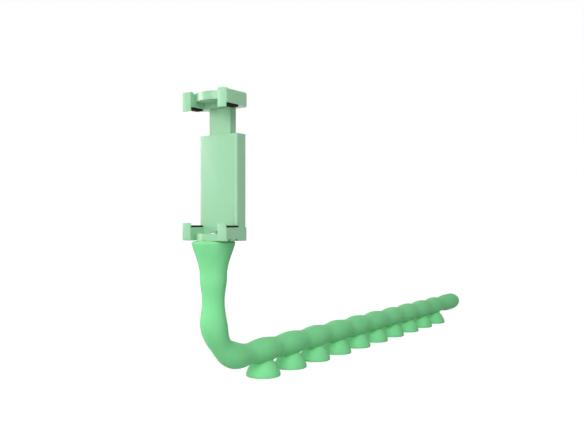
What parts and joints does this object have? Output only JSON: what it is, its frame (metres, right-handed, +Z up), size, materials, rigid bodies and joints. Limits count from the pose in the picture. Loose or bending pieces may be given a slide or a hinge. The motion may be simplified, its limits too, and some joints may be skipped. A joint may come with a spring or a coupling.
{
  "type": "suction cup phone holder",
  "caption": "Bendable worm-shaped phone holder: a silicone rod on a row of suction cups carries a swivelling spring clip.",
  "frame": {"origin": "On the surface that the suction cups stand on, under the middle of the holder's length and width", "axes": "+Z up from the surface, +X along the row of cups from the head to the tail, +Y to the left when looking along +X. The clip's front faces -X."},
  "size_m": [0.4023, 0.0356, 0.1812],
  "materials": {
    "worm_silicone": "matt green silicone",
    "core_aluminium": "soft drawn wire",
    "inner_plastic": "black moulded cap",
    "clip_abs": "light mint, finely textured",
    "plated_steel": "zinc plated",
    "bearing_plastic": "mint acetal, slippery",
    "pad_rubber": "matt black rubber"
  },
  "bodies": {
    "worm": {"worm_body": "worm_silicone", "core_wire": "core_aluminium", "tail_cap": "inner_plastic", "head_insert": "clip_abs", "swivel_nut": "plated_steel", "thrust_washer": "bearing_plastic", "swivel_screw": "plated_steel", "spring_washer": "plated_steel"},
    "clip_base": {"lower_jaw": "clip_abs", "lower_pad_left": "pad_rubber", "lower_pad_right": "pad_rubber", "flat_washer": "plated_steel", "back_cover": "clip_abs", "cover_screws": "plated_steel", "lower_spring_pin": "plated_steel", "spring_left": "plated_steel", "spring_right": "plated_steel"},
    "clip_slide": {"upper_jaw": "clip_abs", "upper_pad_left": "pad_rubber", "upper_pad_right": "pad_rubber", "upper_spring_pin": "plated_steel"}
  },
  "joints": [
    {"name": "clip_swivel", "type": "hinge", "parent": "worm", "child": "clip_base", "pos_m": [-0.18768, 0, 0.0905], "axis": [0, 0, 1], "continuous": true},
    {"name": "jaw_slide", "type": "slide", "parent": "clip_base", "child": "clip_slide", "axis": [0, 0, 1], "range_m": [-0.016, 0.014], "stiffness_N_per_m": 150, "springref_m": -0.03, "deforming": ["spring_left", "spring_right"]}
  ]
}
